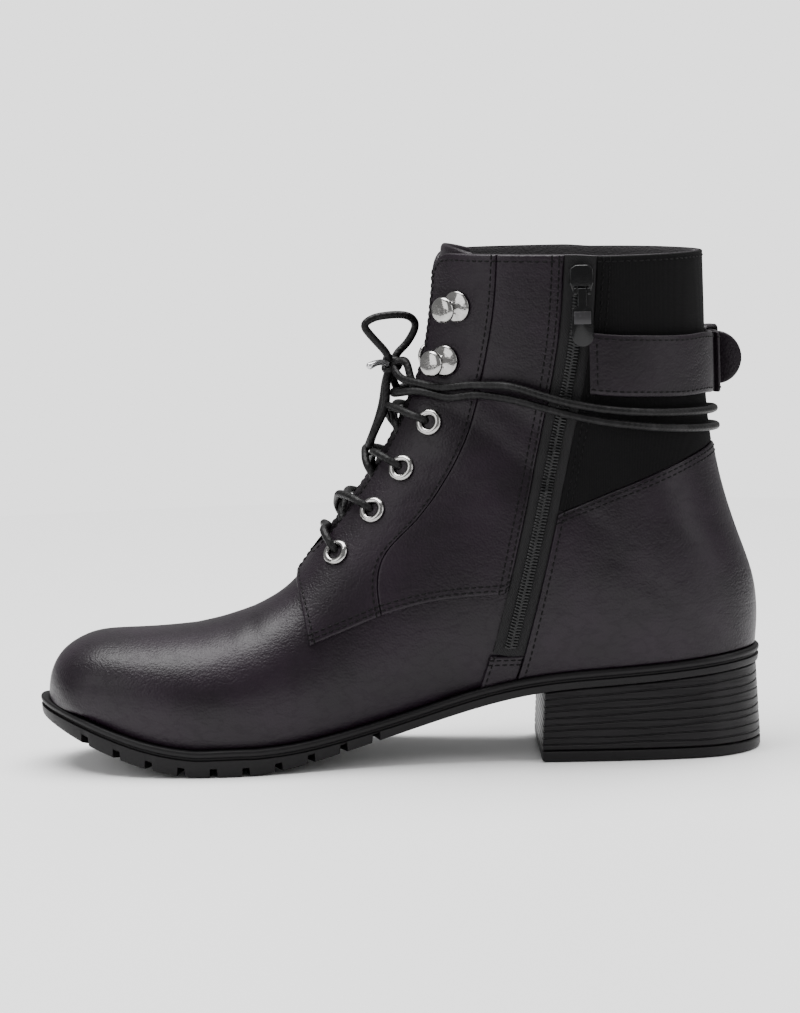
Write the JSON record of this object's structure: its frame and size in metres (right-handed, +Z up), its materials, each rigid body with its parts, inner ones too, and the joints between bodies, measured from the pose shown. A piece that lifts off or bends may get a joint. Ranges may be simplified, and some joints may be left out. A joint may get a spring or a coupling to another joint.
{
  "type": "lace-up ankle boot",
  "caption": "Black leather lace-up ankle boot for the right foot, with a low stacked heel, lugged sole, hooks and eyelets, a zip on the inner side and a buckled strap on the outer side.",
  "frame": {"origin": "on the floor under the heel, at the centre of its flat face", "axes": "toe along -X, medial side along -Y, up along +Z"},
  "size_m": [0.27, 0.0902, 0.1911],
  "materials": {
    "leather": "near-black full-grain leather, low sheen with fine grain",
    "elastic": "matt black elastic fabric",
    "tape": "black woven zip tape",
    "lining": "dark grey fabric sock lining",
    "rubber": "black rubber, satin",
    "nickel": "polished nickel plate",
    "black_metal": "black coated metal",
    "cord": "black waxed round cord"
  },
  "bodies": {
    "boot": {"back_counter": "leather", "buckle_frame": "nickel", "buckle_pin": "nickel", "eyelet_lateral_1": "nickel", "eyelet_lateral_2": "nickel", "eyelet_lateral_3": "nickel", "eyelet_lateral_4": "nickel", "eyelet_medial_1": "nickel", "eyelet_medial_2": "nickel", "eyelet_medial_3": "nickel", "eyelet_medial_4": "nickel", "facing_lateral": "leather", "facing_medial": "leather", "gore": "elastic", "heel": "rubber", "hook_lateral_1": "nickel", "hook_lateral_2": "nickel", "hook_medial_1": "nickel", "hook_medial_2": "nickel", "insole": "lining", "lace_crossings": "cord", "lace_end_long": "cord", "lace_end_short": "cord", "lace_knot": "cord", "lace_loop_down": "cord", "lace_loop_up": "cord", "lace_wrap": "cord", "outsole": "rubber", "quarter_lateral": "leather", "quarter_medial": "leather", "strap_band": "leather", "strap_keeper": "leather", "strap_tab": "leather", "tongue": "leather", "top_lift": "rubber", "upper": "leather", "zip_coil": "black_metal", "zip_slider": "black_metal", "zip_tape": "tape"},
    "pull": {"zip_pull": "black_metal"}
  },
  "joints": [
    {"name": "zip_pull_hinge", "type": "hinge", "parent": "boot", "child": "pull", "pos_m": [-0.02719, -0.04159, 0.17454], "axis": [-1, 0.0064, 0], "range_deg": [0, 120]}
  ]
}
